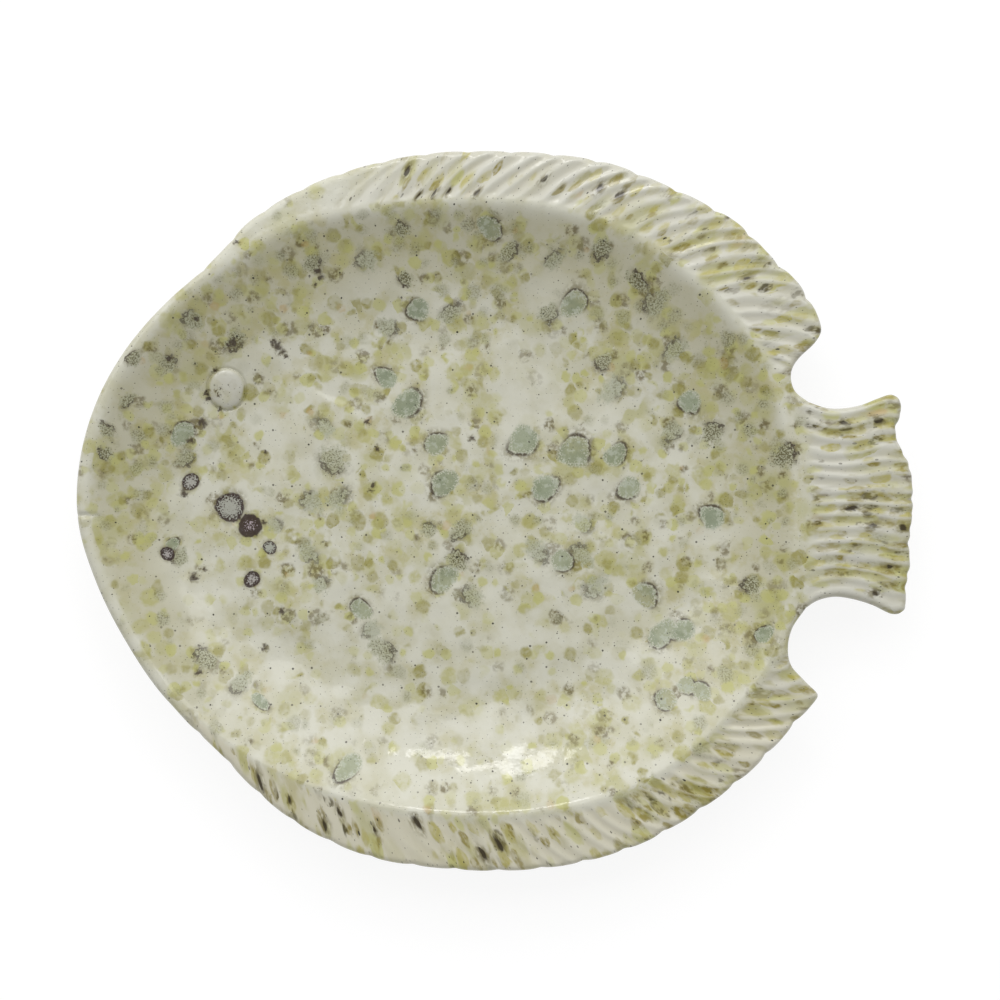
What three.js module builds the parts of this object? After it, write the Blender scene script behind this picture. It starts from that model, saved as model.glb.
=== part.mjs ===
// A stoneware serving tray in the shape of a flatfish.
// Millimetres, +Z up. The head points along -X, the tail along +X and the dorsal fin along +Y.
// The origin is on the table, under the middle of the tray.
import * as THREE from 'three';

// Clay thickness, and the gap between pieces that are luted together
const CLAY = 6;
const SEAT_GAP = 0.3;

// The foot is an oval ring, set in from the edge of the flat floor above it
const FOOT_HEIGHT = 3;
const FOOT_WIDTH = 7;
const FOOT_CHAMFER = 1;
const FOOT_SETBACK = 2;

// The basin is dished from the ridge down to a flat oval floor
const BASIN_DEPTH = 23;
const WALL_CURVE = 2;
const FLOOR_LENGTH = 200;
const FLOOR_BREADTH = 142;
const FLOOR_X = -20;
const FLOOR_Y = -4;

// Flanges outside the ridge: width of the plain lip, upright part of the rounded edge, tilt in degrees
const LIP_WIDTH = 5;
const EDGE_LAND = 1.2;
const FLANGE_TILT = 4.5;

// Fin rays: spacing, height from groove to crest, and the plain margin beside the ridge.
// The rays lean back toward the tail, and stand square at a share of the fin's length.
const FIN_RAY_PITCH = 6.7;
const TAIL_RAY_PITCH = 5.6;
const RAY_HEIGHT = 1.1;
const RAY_MARGIN = 5;
const RAY_SWEEP = 0.29;
const RAY_SQUARE = 0.66;
const SMOOTH_SHARE = 0.3;

// Eye, gill cover and mouth
const EYE_X = -117;
const EYE_Y = 53;
const EYE_WIDTH = 16;
const EYE_LENGTH = 17.6;
const EYE_RISE = 3.6;
const EYE_EDGE = 0.8;
const GILL_RISE = 1.2;
const GILL_EDGE = 0.5;
const MOUTH_Y = -1.7;
const MOUTH_WIDTH = 3;
const MOUTH_DEPTH = 1.4;

// The ridge is the top of the basin wall, anticlockwise from the middle of the tail
const RIDGE = [
  [128.5, 2], [126, 25], [121, 46], [113, 66], [101, 83], [80, 102.5], [50, 121.5], [16, 130.5], [-20, 132],
  [-54, 129], [-86, 121.5], [-112, 107], [-134, 90], [-154, 68], [-167, 45], [-174, 20], [-174.5, -4],
  [-167, -29], [-155, -53], [-138, -77.5], [-114, -98.5], [-86, -114], [-53, -124.8], [-17, -129.5],
  [18, -128.2], [51, -120.5], [80, -104.5], [103, -82.5], [118, -63], [125.3, -43], [128, -20],
];

// Places in that list where the fins, the tail and the head lip begin and end
const UPPER_NOTCH_INDEX = 2;
const DORSAL_TIP_INDEX = 4;
const DORSAL_START_INDEX = 12;
const ANAL_START_INDEX = 19;
const ANAL_TIP_INDEX = 27;
const LOWER_NOTCH_INDEX = 29;

// Corners where two free edges meet
const DORSAL_CORNER = [141, 77.5];
const UPPER_SEAM = [134.4, 47];
const TAIL_TOP = [174.2, 49];
const TAIL_BOTTOM = [173.6, -45];
const LOWER_SEAM = [133.5, -41.7];
const ANAL_CORNER = [139.8, -79.5];

// Free edges of the fins, each from the head to its corner, and then round the notch to the tail
const DORSAL_EDGE = [
  [-128, 101.8], [-118.5, 111], [-106, 124.5], [-82, 139.2], [-58, 148], [-30, 153.8], [0, 155], [27, 153.5],
  [50, 149.5], [72, 141], [90, 132.5], [105, 123.5], [119, 109.5], [131, 97.5], [138, 86], DORSAL_CORNER,
];
const DORSAL_NOTCH = [
  DORSAL_CORNER, [137, 71.8], [131, 66.2], [127.8, 61.5], [127.1, 57], [128.9, 51.5], UPPER_SEAM,
];
const ANAL_EDGE = [
  [-130, -93.5], [-119.5, -103.3], [-104, -119.5], [-84, -135.3], [-55, -148.6], [-24, -153.8], [8, -154.8],
  [36, -151.5], [61, -144], [77, -135.8], [95, -124], [112, -110], [128, -92.8], ANAL_CORNER,
];
const ANAL_NOTCH = [ANAL_CORNER, [132.3, -72.3], [127, -66], [125.8, -58.5], [127.6, -50.5], LOWER_SEAM];

// Free edges of the tail
const TAIL_UPPER = [
  UPPER_SEAM, [142.6, 44.4], [149.5, 44.2], [157.6, 45.7], [164.5, 48.4], [170.5, 50.2], TAIL_TOP,
];
const TAIL_REAR = [
  TAIL_TOP, [175, 43.5], [172.6, 33], [178.8, 18.5], [180, 2.6], [179, -8.2], [178.4, -14.6], [178.7, -24],
  [177, -32.7], [176.6, -42], TAIL_BOTTOM,
];
const TAIL_LOWER = [
  LOWER_SEAM, [138.3, -38.7], [145.2, -37], [152, -37.6], [161.9, -40.4], [170, -44.2], TAIL_BOTTOM,
];

// The gill cover is a crescent between these two curves
const GILL_REAR = [[-92, 64], [-77, 51.5], [-60, 43], [-52.5, 26], [-53, 8], [-59, -26], [-73, -44]];
const GILL_FRONT = [[-95, 61.5], [-84, 38], [-80, 12], [-79, -20], [-76, -42]];

// Shallow scallops along the fin edges
const SCALLOP_LENGTH = 18.5;
const SCALLOP_START = 16;
const SCALLOP_DEPTH = 1.3;

// How finely the curves are followed
const SPAN_STEPS = 24;
const NORMAL_STEPS = 6;
const RING_STEPS = 8;
const WALL_RINGS = 8;
const COLUMNS_PER_RAY = 2;
const EDGE_STOP = 0.4;
const TAIL_SEAM_SHARE = 0.2;
const TAIL_STOPS = [0.32, 0.44, 0.58, 0.72, 0.86];
const EYE_SIDES = 24;
const EYE_RINGS = [1, 0.85, 0.6, 0.3];
const GILL_COLUMNS = 24;
const GILL_STOPS = [0, 0.35, 0.7, 1];

// Worked out from the sizes above
const FLOOR_Z = FOOT_HEIGHT + CLAY;
const RIM_Z = FLOOR_Z + BASIN_DEPTH;
const EDGE_ROUND = (CLAY - EDGE_LAND) / 2;
const FLOOR_CENTRE = new THREE.Vector2(FLOOR_X, FLOOR_Y);

const glaze = (color) => new THREE.MeshStandardMaterial({ color, roughness: 0.22, metalness: 0 });
const bareClay = new THREE.MeshStandardMaterial({ color: 0xb7a68c, roughness: 0.85, metalness: 0 });

// A smooth curve through plan points, as a list of points
function smooth(pairs, closed = false) {
  const knots = pairs.map(([x, y]) => new THREE.Vector3(x, y, 0));
  const curve = new THREE.CatmullRomCurve3(knots, closed);
  const spans = closed ? pairs.length : pairs.length - 1;
  return curve.getPoints(spans * SPAN_STEPS).map((p) => new THREE.Vector2(p.x, p.y));
}

// A run of plan points that is read by the distance along it
class Route {
  constructor(points) {
    this.points = points;
    this.stations = [0];
    for (let i = 1; i < points.length; i += 1) {
      this.stations.push(this.stations[i - 1] + points[i].distanceTo(points[i - 1]));
    }
    this.length = this.stations[points.length - 1];
  }

  at(distance) {
    const last = this.points.length - 1;
    let i = this.stations.findIndex((station) => station >= distance);
    if (i < 0) i = last;
    if (i === 0) return this.points[0].clone();
    const span = this.stations[i] - this.stations[i - 1];
    const share = (distance - this.stations[i - 1]) / span;
    return this.points[i - 1].clone().lerp(this.points[i], share);
  }

  distanceTo(point) {
    let least = Infinity;
    for (let i = 1; i < this.points.length; i += 1) {
      const a = this.points[i - 1];
      const run = this.points[i].clone().sub(a);
      const along = point.clone().sub(a).dot(run) / run.lengthSq();
      const foot = a.clone().addScaledVector(run, THREE.MathUtils.clamp(along, 0, 1));
      least = Math.min(least, foot.distanceTo(point));
    }
    return least;
  }
}

// The ridge, with the outward direction at each of its points
const ridgePoints = smooth(RIDGE, true).slice(0, -1);
const ridgeCount = ridgePoints.length;
const ridgeAt = (i) => ridgePoints[(i + ridgeCount) % ridgeCount];
const outward = ridgePoints.map((_, i) => {
  const run = ridgeAt(i + NORMAL_STEPS).clone().sub(ridgeAt(i - NORMAL_STEPS)).normalize();
  return new THREE.Vector2(run.y, -run.x);
});
const ridgeRoute = new Route([...ridgePoints, ridgePoints[0]]);

// Points offset outward from the ridge, between two of its knots, in either direction round it
function ridgeRun(fromKnot, toKnot, offset) {
  const steps = (toKnot - fromKnot) * SPAN_STEPS;
  const turn = Math.sign(steps);
  const run = [];
  for (let k = 0; k <= Math.abs(steps); k += 1) {
    const i = (fromKnot * SPAN_STEPS + turn * k + ridgeCount) % ridgeCount;
    run.push(ridgePoints[i].clone().addScaledVector(outward[i], offset));
  }
  return run;
}

// The dish falls from the ridge to an oval floor, measured along lines from the floor's centre.
// This is the distance to that oval, or to one set in from it.
function ovalReach(angle, inset = 0) {
  const a = FLOOR_LENGTH / 2 - inset;
  const b = FLOOR_BREADTH / 2 - inset;
  return (a * b) / Math.hypot(b * Math.cos(angle), a * Math.sin(angle));
}
const fromCentre = (point) => point.clone().sub(FLOOR_CENTRE);
const ridgeAngles = ridgePoints.map((p) => fromCentre(p).angle());
const ridgeReaches = ridgePoints.map((p) => fromCentre(p).length());
const ridgeStart = ridgeAngles.indexOf(Math.min(...ridgeAngles));

// Distance from the floor's centre to the ridge, by interpolation between the ridge's points
function ridgeReach(angle) {
  for (let k = 0; k < ridgeCount; k += 1) {
    const i = (ridgeStart + k) % ridgeCount;
    const j = (i + 1) % ridgeCount;
    const last = k === ridgeCount - 1;
    const from = ridgeAngles[i];
    const to = ridgeAngles[j] + (last ? 2 * Math.PI : 0);
    const at = last && angle < from ? angle + 2 * Math.PI : angle;
    if (at >= from && at <= to) {
      return THREE.MathUtils.mapLinear(at, from, to, ridgeReaches[i], ridgeReaches[j]);
    }
  }
  return ridgeReaches[ridgeStart];
}

// Height of the dish on top and underneath, by the share of the way from the ridge to the floor
const dishTop = (share) => FLOOR_Z + BASIN_DEPTH * Math.max(0, 1 - share) ** WALL_CURVE;
function dishUnder(share, run) {
  const slope = ((BASIN_DEPTH * WALL_CURVE) / run) * Math.max(0, 1 - share) ** (WALL_CURVE - 1);
  return dishTop(share) - CLAY * Math.hypot(1, slope);
}
function dishTopAt(point) {
  const arm = fromCentre(point);
  const reach = ridgeReach(arm.angle());
  return dishTop((reach - arm.length()) / (reach - ovalReach(arm.angle())));
}

// A closed solid between an upper and a lower sheet over the same plan grid.
// The grid may close on itself along its rows, and its last row may be filled to a centre.
function slab(grid, topOf, underOf, { closed = false, filled = false } = {}) {
  const rows = grid.length;
  const columns = grid[0].length;
  const position = [];
  const index = [];
  const put = (point, z) => position.push(point.x, point.y, z) / 3 - 1;
  const top = grid.map((row, i) => row.map((p, j) => put(p, topOf(p, i, j))));
  const under = grid.map((row, i) => row.map((p, j) => put(p, underOf(p, i, j))));
  const face = (a, b, c) => index.push(a, b, c);
  const quad = (a, b, c, d) => {
    face(a, b, c);
    face(a, c, d);
  };
  const strips = closed ? columns : columns - 1;
  for (let j = 0; j < strips; j += 1) {
    const k = (j + 1) % columns;
    for (let i = 0; i + 1 < rows; i += 1) {
      quad(top[i][j], top[i][k], top[i + 1][k], top[i + 1][j]);
      quad(under[i][k], under[i][j], under[i + 1][j], under[i + 1][k]);
    }
    quad(top[0][k], top[0][j], under[0][j], under[0][k]);
    if (!filled) quad(top[rows - 1][j], top[rows - 1][k], under[rows - 1][k], under[rows - 1][j]);
  }
  if (!closed) {
    for (let i = 0; i + 1 < rows; i += 1) {
      const last = columns - 1;
      quad(top[i][0], top[i + 1][0], under[i + 1][0], under[i][0]);
      quad(top[i + 1][last], top[i][last], under[i][last], under[i + 1][last]);
    }
  }
  if (filled) {
    const inner = grid[rows - 1];
    const centre = inner.reduce((sum, p) => sum.add(p), new THREE.Vector2()).divideScalar(columns);
    const topCentre = put(centre, topOf(centre, rows, 0));
    const underCentre = put(centre, underOf(centre, rows, 0));
    for (let j = 0; j < columns; j += 1) {
      const k = (j + 1) % columns;
      face(top[rows - 1][j], top[rows - 1][k], topCentre);
      face(under[rows - 1][k], under[rows - 1][j], underCentre);
    }
  }
  return solidFrom(position, index);
}

// A geometry whose faces point outward, whichever way round its grid was laid
function solidFrom(position, index) {
  const corner = (i) => new THREE.Vector3().fromArray(position, 3 * i);
  let volume = 0;
  for (let i = 0; i < index.length; i += 3) {
    volume += corner(index[i]).dot(corner(index[i + 1]).cross(corner(index[i + 2])));
  }
  const facing = volume > 0 ? index : index.slice().reverse();
  const geometry = new THREE.BufferGeometry();
  geometry.setAttribute('position', new THREE.Float32BufferAttribute(position, 3));
  geometry.setIndex(facing);
  geometry.computeVertexNormals();
  return geometry;
}

// How far a rounded edge has fallen away, by the distance in from the free edge
function edgeDrop(distance) {
  const reach = Math.max(0, EDGE_ROUND - distance);
  return EDGE_ROUND - Math.sqrt(EDGE_ROUND ** 2 - reach ** 2);
}

// A flange that tilts down from the ridge to a rounded free edge.
// Each of its rays is a line of plan points from the ridge to the free edge.
function flange(rays, freeEdge, reliefOf) {
  const grid = rays[0].map((_, i) => rays.map((ray) => ray[i]));
  const fall = Math.tan(THREE.MathUtils.degToRad(FLANGE_TILT));
  const level = (p) => RIM_Z - fall * ridgeRoute.distanceTo(p);
  const top = (p, i, j) => level(p) + reliefOf(i, j) - edgeDrop(freeEdge.distanceTo(p));
  const under = (p) => level(p) - CLAY + edgeDrop(freeEdge.distanceTo(p));
  return slab(grid, top, under);
}

// Plan points along one straight ray, closer together at the rounded edge
function straightRay(root, tip) {
  const length = root.distanceTo(tip);
  const land = length - Math.min(EDGE_ROUND, length / 2);
  const margin = Math.min(RAY_MARGIN, land / 2);
  const edge = length - land;
  const stops = [0, margin, (margin + land) / 2, land, length - edge * EDGE_STOP, length];
  return stops.map((stop) => root.clone().lerp(tip, stop / length));
}

// Pulls an edge in at the points between its scallops, more so toward the tail
function scalloped(points) {
  const route = new Route(points);
  return points.map((p, i) => {
    const ahead = points[Math.min(i + 1, points.length - 1)];
    const behind = points[Math.max(i - 1, 0)];
    const run = ahead.clone().sub(behind).normalize();
    const inward = new THREE.Vector2(run.y, -run.x);
    if (inward.dot(p) > 0) inward.negate();
    const toEnd = route.length - route.stations[i];
    const lobe = Math.abs(Math.sin((Math.PI * (toEnd - SCALLOP_START)) / SCALLOP_LENGTH));
    const strength = (route.stations[i] / route.length) ** 2;
    return p.clone().addScaledVector(inward, SCALLOP_DEPTH * strength * (1 - lobe) ** 2);
  });
}

// Height of a ray above or below the flange, at each of the columns that follow it
const rayRelief = (column) => -(RAY_HEIGHT / 2) * Math.cos((2 * Math.PI * column) / COLUMNS_PER_RAY);

// How far the outer end of a ray runs ahead of its root, as a share of the fin's length
const raySway = (share) => RAY_SWEEP * Math.sqrt(share) * (1 - share) * (RAY_SQUARE - share);

// A ribbed fin from the head to its tip, and on round the tip to the bottom of the notch
function ribbedFin(startKnot, tipKnot, notchKnot, edgePairs, notchPairs) {
  const clear = SEAT_GAP / 2;
  const mainRoot = new Route(ridgeRun(startKnot, tipKnot, clear));
  const tipRoot = new Route(ridgeRun(tipKnot, notchKnot, clear));
  const start = ridgeRun(startKnot, startKnot, LIP_WIDTH)[0];
  const mainEdge = new Route(scalloped(smooth([[start.x, start.y], ...edgePairs])));
  const tipEdge = new Route(smooth(notchPairs));
  const freeEdge = new Route([...mainEdge.points, ...tipEdge.points.slice(1)]);

  const rays = [];
  const mainCount = Math.round(mainRoot.length / FIN_RAY_PITCH) * COLUMNS_PER_RAY;
  for (let k = 0; k < mainCount; k += 1) {
    const share = Math.max(k / mainCount, clear / mainRoot.length);
    const edgeShare = share + (k ? raySway(share) : 0);
    rays.push(straightRay(mainRoot.at(share * mainRoot.length), mainEdge.at(edgeShare * mainEdge.length)));
  }
  const tipCount = Math.round(tipRoot.length / FIN_RAY_PITCH) * COLUMNS_PER_RAY;
  for (let k = 0; k <= tipCount; k += 1) {
    const rootStop = Math.min((k / tipCount) * tipRoot.length, tipRoot.length - clear);
    const edgeStop = Math.min((k / tipCount) * tipEdge.length, tipEdge.length - clear);
    rays.push(straightRay(tipRoot.at(rootStop), tipEdge.at(edgeStop)));
  }
  const strength = (j) => THREE.MathUtils.smoothstep(j / rays.length, 0, SMOOTH_SHARE);
  const relief = (i, j) => (i === 0 ? 0 : strength(j) * rayRelief(j));
  return flange(rays, freeEdge, relief);
}

// The tail is a patch stretched between its root, its two swept sides and its rear edge
function ribbedTail() {
  const clear = SEAT_GAP / 2;
  const root = new Route(ridgeRun(UPPER_NOTCH_INDEX, LOWER_NOTCH_INDEX - RIDGE.length, clear));
  const rear = new Route(smooth(TAIL_REAR));
  const upperSide = smooth(TAIL_UPPER);
  const lowerSide = smooth(TAIL_LOWER);
  const freeEdge = new Route([...upperSide, ...rear.points, ...lowerSide.slice().reverse()]);
  const upperStart = root.at(clear);
  const lowerStart = root.at(root.length - clear);
  // A side runs straight across the seam with the fin, and then along its free edge
  const sideOf = (start, side) => {
    const route = new Route(side);
    const seam = route.at(clear);
    return (a) => {
      if (a <= TAIL_SEAM_SHARE) return start.clone().lerp(seam, a / TAIL_SEAM_SHARE);
      const share = (a - TAIL_SEAM_SHARE) / (1 - TAIL_SEAM_SHARE);
      return route.at(clear + share * (route.length - clear));
    };
  };
  const upper = sideOf(upperStart, upperSide);
  const lower = sideOf(lowerStart, lowerSide);
  const patch = (a, b) => {
    const across = upper(a).lerp(lower(a), b);
    const rootPoint = root.at(clear + b * (root.length - 2 * clear));
    const along = rootPoint.lerp(rear.at(b * rear.length), a);
    const near = upperStart.clone().lerp(lowerStart, b);
    const corners = near.lerp(upper(1).lerp(lower(1), b), a);
    return across.add(along).sub(corners);
  };
  const columns = Math.round(rear.length / TAIL_RAY_PITCH) * COLUMNS_PER_RAY;
  const rim = EDGE_ROUND / upperStart.distanceTo(rear.points[0]);
  const stops = [0, TAIL_SEAM_SHARE, ...TAIL_STOPS, 1 - rim, 1 - rim * EDGE_STOP, 1];
  const rays = [];
  for (let k = 0; k <= columns; k += 1) rays.push(stops.map((a) => patch(a, k / columns)));
  const relief = (i, j) => (i === 0 ? 0 : rayRelief(j));
  return flange(rays, freeEdge, relief);
}

// The plain lip round the head, with the mouth pressed into it
function rolledLip() {
  const clear = SEAT_GAP / 2;
  const root = new Route(ridgeRun(DORSAL_START_INDEX, ANAL_START_INDEX, clear));
  const edge = new Route(ridgeRun(DORSAL_START_INDEX, ANAL_START_INDEX, LIP_WIDTH));
  const count = (ANAL_START_INDEX - DORSAL_START_INDEX) * SPAN_STEPS / RING_STEPS;
  const mouthIndex = root.points.findIndex((p) => p.y <= MOUTH_Y);
  const mouth = root.stations[mouthIndex] / root.length;
  const half = MOUTH_WIDTH / 2 / root.length;
  const ends = clear / root.length;
  const shares = [ends, mouth - half, mouth, mouth + half, 1 - ends];
  for (let k = 1; k < count; k += 1) {
    const share = k / count;
    if (Math.abs(share - mouth) > 2 * half) shares.push(share);
  }
  shares.sort((a, b) => a - b);
  const rays = shares.map((s) => straightRay(root.at(s * root.length), edge.at(s * edge.length)));
  const relief = (i, j) => (shares[j] === mouth ? -MOUTH_DEPTH : 0);
  return flange(rays, edge, relief);
}

// Ridge points that carry the columns of the round pieces
const columnPicks = [];
for (let i = 0; i < ridgeCount; i += RING_STEPS) columnPicks.push(i);
function polar(angle, reach) {
  return new THREE.Vector2(Math.cos(angle), Math.sin(angle)).multiplyScalar(reach).add(FLOOR_CENTRE);
}

// The basin's rings run from the ridge in to the edge of the flat floor
function dishedBasin() {
  const shares = Array.from({ length: WALL_RINGS }, (_, k) => k / (WALL_RINGS - 1));
  const runs = columnPicks.map((i) => ridgeReaches[i] - ovalReach(ridgeAngles[i]));
  const grid = shares.map((share) => columnPicks.map((i, j) => {
    const clear = share === 0 ? SEAT_GAP / 2 : 0;
    const reach = ridgeReaches[i] - runs[j] * share;
    return polar(ridgeAngles[i], reach).addScaledVector(outward[i], -clear);
  }));
  const shareOf = (i) => shares[Math.min(i, WALL_RINGS - 1)];
  return slab(grid, (p, i) => dishTop(shareOf(i)), (p, i, j) => dishUnder(shareOf(i), runs[j]),
    { closed: true, filled: true });
}

// The foot is an oval ring under the edge of the flat floor
function footRing() {
  const insets = [0, FOOT_CHAMFER, FOOT_WIDTH - FOOT_CHAMFER, FOOT_WIDTH];
  const grid = insets.map((inset) => columnPicks.map((i) => (
    polar(ridgeAngles[i], ovalReach(ridgeAngles[i], FOOT_SETBACK + inset))
  )));
  const under = [FOOT_CHAMFER, 0, 0, FOOT_CHAMFER];
  return slab(grid, () => FOOT_HEIGHT, (p, i) => under[i], { closed: true });
}

// The eye is a domed oval button that sits on the sloping wall
function domedEye() {
  const grid = EYE_RINGS.map((share) => Array.from({ length: EYE_SIDES }, (_, j) => {
    const angle = (2 * Math.PI * j) / EYE_SIDES;
    const x = EYE_X + (EYE_WIDTH / 2) * share * Math.cos(angle);
    const y = EYE_Y + (EYE_LENGTH / 2) * share * Math.sin(angle);
    return new THREE.Vector2(x, y);
  }));
  const under = (p) => dishTopAt(p) + SEAT_GAP;
  const dome = (i) => EYE_EDGE + (EYE_RISE - EYE_EDGE) * Math.sqrt(1 - (EYE_RINGS[i] ?? 0) ** 2);
  return slab(grid, (p, i) => under(p) + dome(i), under, { closed: true, filled: true });
}

// The gill cover is thin at the front and stands highest along its rear edge
function gillPlate() {
  const front = new Route(smooth(GILL_FRONT));
  const rear = new Route(smooth(GILL_REAR));
  const grid = GILL_STOPS.map((share) => Array.from({ length: GILL_COLUMNS + 1 }, (_, j) => {
    const from = front.at((front.length * j) / GILL_COLUMNS);
    return from.lerp(rear.at((rear.length * j) / GILL_COLUMNS), share);
  }));
  const under = (p) => dishTopAt(p) + SEAT_GAP;
  const thick = (i) => GILL_EDGE + (GILL_RISE - GILL_EDGE) * GILL_STOPS[i] ** 2;
  return slab(grid, (p, i) => under(p) + thick(i), under);
}

const tray = new THREE.Group();
function add(name, geometry, material) {
  const mesh = new THREE.Mesh(geometry, material);
  mesh.name = name;
  tray.add(mesh);
}

add('basin', dishedBasin(), glaze(0xc4c1b1));
add('head_rim', rolledLip(), glaze(0xccc9bb));
const dorsalPlaces = [DORSAL_START_INDEX, DORSAL_TIP_INDEX, UPPER_NOTCH_INDEX];
add('dorsal_fin', ribbedFin(...dorsalPlaces, DORSAL_EDGE, DORSAL_NOTCH), glaze(0xc2bda6));
const analPlaces = [ANAL_START_INDEX, ANAL_TIP_INDEX, LOWER_NOTCH_INDEX];
add('anal_fin', ribbedFin(...analPlaces, ANAL_EDGE, ANAL_NOTCH), glaze(0xbdb8a2));
add('tail_fin', ribbedTail(), glaze(0xbdb79f));
add('eye', domedEye(), glaze(0xc9c8bd));
add('gill_cover', gillPlate(), glaze(0xc6c3b4));
add('foot_ring', footRing(), bareClay);

export default tray;
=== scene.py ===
import math
from collections import namedtuple
from functools import reduce

import bpy
import numpy as np
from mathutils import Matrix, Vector
from mathutils.geometry import delaunay_2d_cdt
from mathutils.kdtree import KDTree


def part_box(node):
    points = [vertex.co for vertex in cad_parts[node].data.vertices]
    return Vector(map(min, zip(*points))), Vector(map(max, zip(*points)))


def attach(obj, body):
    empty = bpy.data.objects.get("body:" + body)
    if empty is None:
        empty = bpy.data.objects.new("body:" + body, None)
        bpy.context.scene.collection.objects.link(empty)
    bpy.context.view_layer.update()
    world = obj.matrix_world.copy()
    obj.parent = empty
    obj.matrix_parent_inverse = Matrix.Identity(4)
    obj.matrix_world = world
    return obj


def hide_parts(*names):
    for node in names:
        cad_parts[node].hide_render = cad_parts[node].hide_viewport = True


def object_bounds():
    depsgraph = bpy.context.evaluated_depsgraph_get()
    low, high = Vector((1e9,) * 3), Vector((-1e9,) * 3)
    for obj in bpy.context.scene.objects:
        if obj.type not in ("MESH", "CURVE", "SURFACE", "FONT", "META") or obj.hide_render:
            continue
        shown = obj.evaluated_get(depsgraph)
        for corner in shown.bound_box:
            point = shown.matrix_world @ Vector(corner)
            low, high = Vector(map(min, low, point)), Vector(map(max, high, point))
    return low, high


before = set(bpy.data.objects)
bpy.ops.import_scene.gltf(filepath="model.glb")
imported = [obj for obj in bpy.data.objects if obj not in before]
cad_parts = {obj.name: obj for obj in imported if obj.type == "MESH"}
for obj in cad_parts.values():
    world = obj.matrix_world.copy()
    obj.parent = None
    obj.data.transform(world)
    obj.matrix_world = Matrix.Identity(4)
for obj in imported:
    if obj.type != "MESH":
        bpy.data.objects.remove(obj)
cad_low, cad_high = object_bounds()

# The looks of a stoneware serving tray in the shape of a flatfish.
# Lengths are millimetres until the meshes are made, and then metres.
# The head points along -X, the tail along +X and the dorsal fin along +Y.
MM = 0.001
SEED = 11
FAR = 99.0
TINY = 1e-6
TAU = math.tau

# Heights and sizes of the clay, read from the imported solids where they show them
RIM_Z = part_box("basin")[1].z / MM
FLOOR_Z = 9
FOOT_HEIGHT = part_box("foot_ring")[1].z / MM
CLAY = FLOOR_Z - FOOT_HEIGHT
BASIN_DEPTH = RIM_Z - FLOOR_Z
FLOOR_X, FLOOR_Y = -20, -4
FLOOR_LENGTH, FLOOR_BREADTH = 200, 142
FOOT_WIDTH, FOOT_SETBACK = 7, 2
FOOT_SIDES, FOOT_WEAR, FOOT_SWINGS = 240, 0.12, 4
FOOT_PROFILE = [(0, 3.15), (0, 1.5), (0.2, 0.75), (0.6, 0.28), (1.2, 0.06), (1.9, 0)]
LIP_WIDTH = 5
EDGE_LAND = 1.2
EDGE_ROUND = (CLAY - EDGE_LAND) / 2
FLANGE_FALL = math.tan(math.radians(4.5))
CREST_ROUND = 1
CREST_LIFT, CREST_FADE = 0.35, 6
UNEVEN_FADE = 25
UNDER_BLEND = (-7, 2)
# Shares of the wall's climb and of its side where the painted wall shade fades in and out; it is left off the
# lower wall, which faces the light
WALL_FOOT, WALL_HEAD, LIT_SIDE = (0.02, 0.5), (0.8, 1.05), (-0.85, -0.2)
SPAN_STEPS = 24
NORMAL_STEPS = 6
RIDGE_STEP = 0.6

# Fin rays
RAY_PITCH = 6.2
TAIL_RAYS = 15
RAY_HALF = 0.31
RAY_SINK = 0.15
RAY_SQUARE = 0.66
# Sweep of the rays, and the shares of the fin where they rise and where its spots begin
DORSAL_LOOK, ANAL_LOOK = (0.31, (0.18, 0.42), (0.14, 0.36)), (0.4, (0.05, 0.85), (0, 0.04))
RIB_START, RIB_LENGTH, RIB_TIP, TAIL_RIB = (2.5, 8), (5, 14), (4, 26), (5, 12)
RAY_BOW = 0.4
RAY_BROAD = 1.35
RAY_WAVER, RAY_WAVE = 0.07, 5.5
RAY_DRIFT, RAY_HEIGHTS = 0.16, (0.7, 1.2)
TAIL_DRIFT, TAIL_HEIGHTS = 0.14, (0.75, 1.15)
TAIL_CALM = 0.85
TAIL_START, TAIL_SPAN, TAIL_SAMPLES, TAIL_TRIM = 119, (116, 181), 260, 18
FIN_OVERRUN = 0.6
GLAZE_STRETCH, STRETCH_START, TAIL_STRETCH = 0.48, 4, 7
RAY_SAMPLES, HALVINGS = 1400, 22

# Eye, gill cover and mouth
EYE, EYE_HALF, EYE_RISE = (-117, 53), (8, 8.8), 2.9
EYE_PALE = (0.86, 0.98)
CREVICE_RING, CREVICE_WIDTH, CREVICE_DEPTH = 1.04, 0.06, 0.5
GILL_RISE = 0.7
GILL_DROP, GILL_CLIMB = (-2.2, 2), (-34, -2.5)
GILL_FIRST, GILL_LAST = (0.02, 0.22), (0.78, 0.98)
MOUTH_Y, MOUTH_HALF, MOUTH_END = -1.7, 0.9, (-174.5, -169)
MOUTH_DEPTH, MOUTH_STAIN = 1.3, 0.7

# The ridge round the basin, anticlockwise from the middle of the tail
RIDGE = [
    (128.5, 2), (126, 25), (121, 46), (113, 66), (101, 83), (80, 102.5), (50, 121.5), (16, 130.5), (-20, 132),
    (-54, 129), (-86, 121.5), (-112, 107), (-134, 90), (-154, 68), (-167, 45), (-174, 20), (-174.5, -4),
    (-167, -29), (-155, -53), (-138, -77.5), (-114, -98.5), (-86, -114), (-53, -124.8), (-17, -129.5),
    (18, -128.2), (51, -120.5), (80, -104.5), (103, -82.5), (118, -63), (125.3, -43), (128, -20),
]
UPPER_NOTCH, DORSAL_TIP, DORSAL_START = 2, 4, 12
ANAL_START, ANAL_TIP, LOWER_NOTCH = 19, 27, 29

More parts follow.
